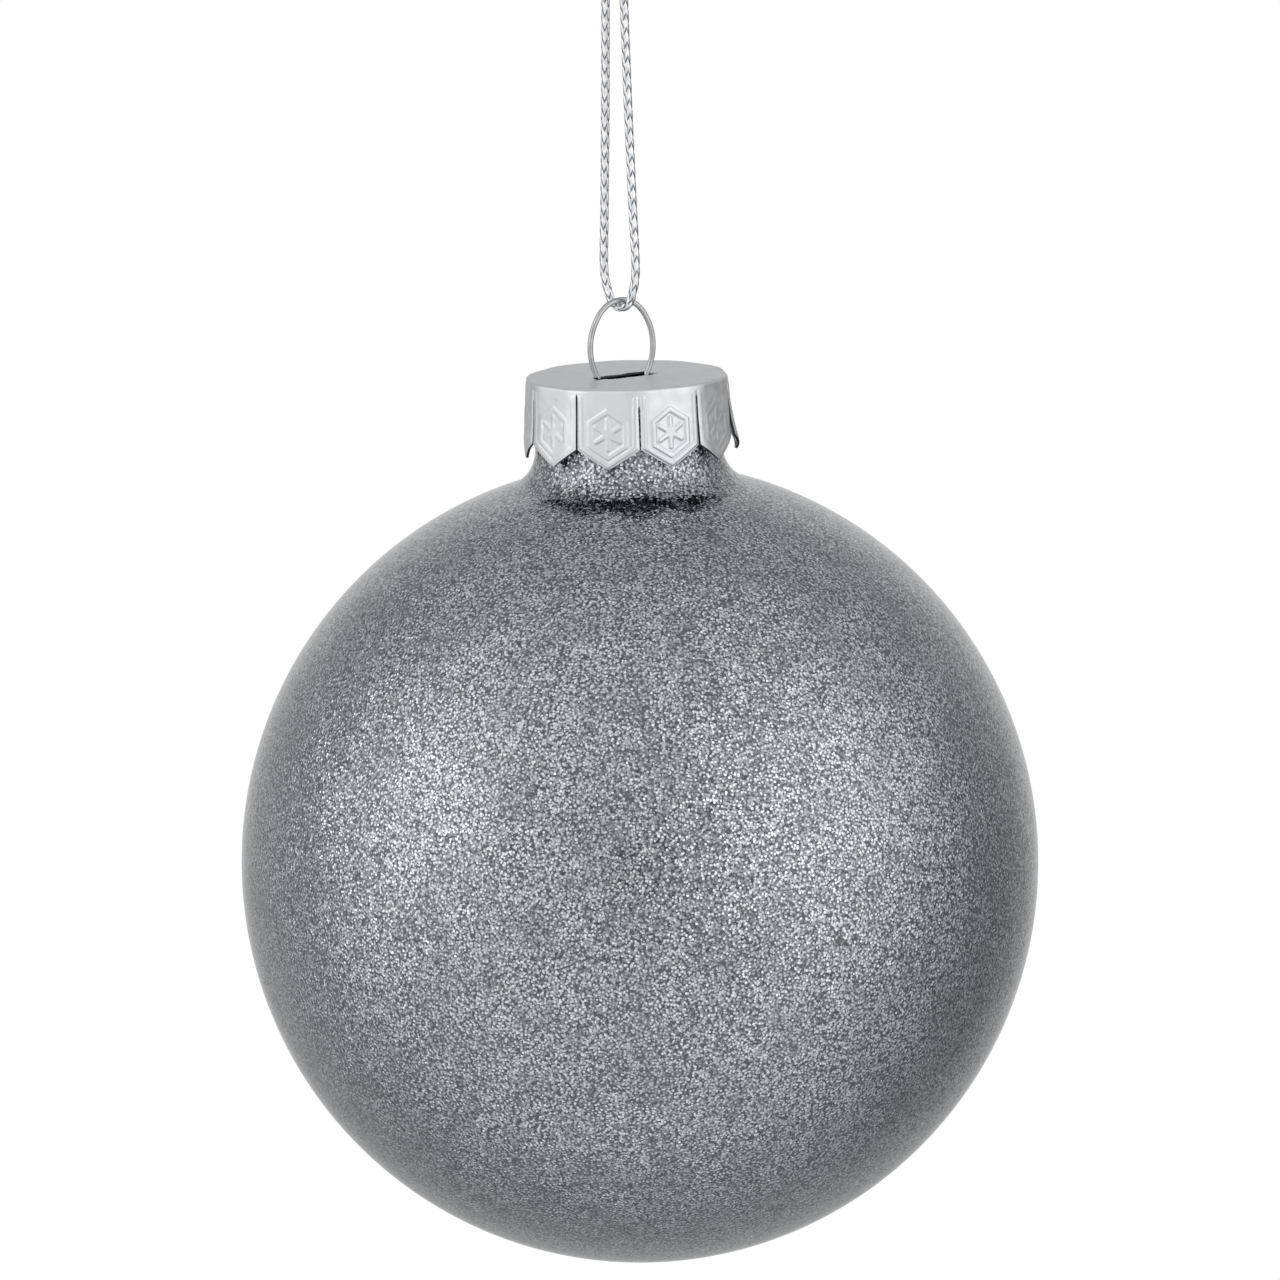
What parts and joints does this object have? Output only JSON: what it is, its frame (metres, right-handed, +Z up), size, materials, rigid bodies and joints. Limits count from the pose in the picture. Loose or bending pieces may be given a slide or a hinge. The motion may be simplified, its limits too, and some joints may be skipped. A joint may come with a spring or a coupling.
{
  "type": "glass ball ornament",
  "caption": "Hollow glass ball lined with silver glitter, with a crown cap, a spring wire hanger with an eye, and a knotted loop of metallic cord to hang it by.",
  "frame": {"origin": "the hanging point: inside the top of the cord loop, just under its knot", "axes": "+Z up along the ball's axis and the hanging cord, +X along the wire that the cord loops over, in the plane of the hanger's eye, +Y through the eye to the back"},
  "size_m": [0.08, 0.08, 0.1673],
  "materials": {
    "glitter_glass": "clear smooth glass over silver glitter flakes on a dark grey ground",
    "cap_metal": "bright pressed sheet with raised panel pattern",
    "wire": "drawn spring wire, satin",
    "cord": "braided silver metallic yarn"
  },
  "bodies": {
    "cord_top": {"cord_knot": "cord"},
    "cord_strands": {"cord_loop": "cord"},
    "hanger": {"hanger_wire": "wire"},
    "cap": {"cap": "cap_metal"},
    "ball": {"glass_ball": "glitter_glass"}
  },
  "joints": [
    {"name": "cord_twist", "type": "hinge", "parent": "cord_top", "child": "cord_strands", "pos_m": [0, 0, 0], "axis": [0, 0, 1], "range_deg": [-180, 180]},
    {"name": "ball_swing", "type": "hinge", "parent": "cord_strands", "child": "hanger", "pos_m": [0, 0, -0.053], "axis": [1, 0, 0], "range_deg": [-90, 90]},
    {"name": "hanger_tilt", "type": "hinge", "parent": "hanger", "child": "cap", "pos_m": [0, 0, -0.0606], "axis": [1, 0, 0], "range_deg": [-8, 8]},
    {"name": "cap_pull_off", "type": "slide", "parent": "cap", "child": "ball", "axis": [0, 0, -1], "range_m": [0, 0.03]}
  ]
}
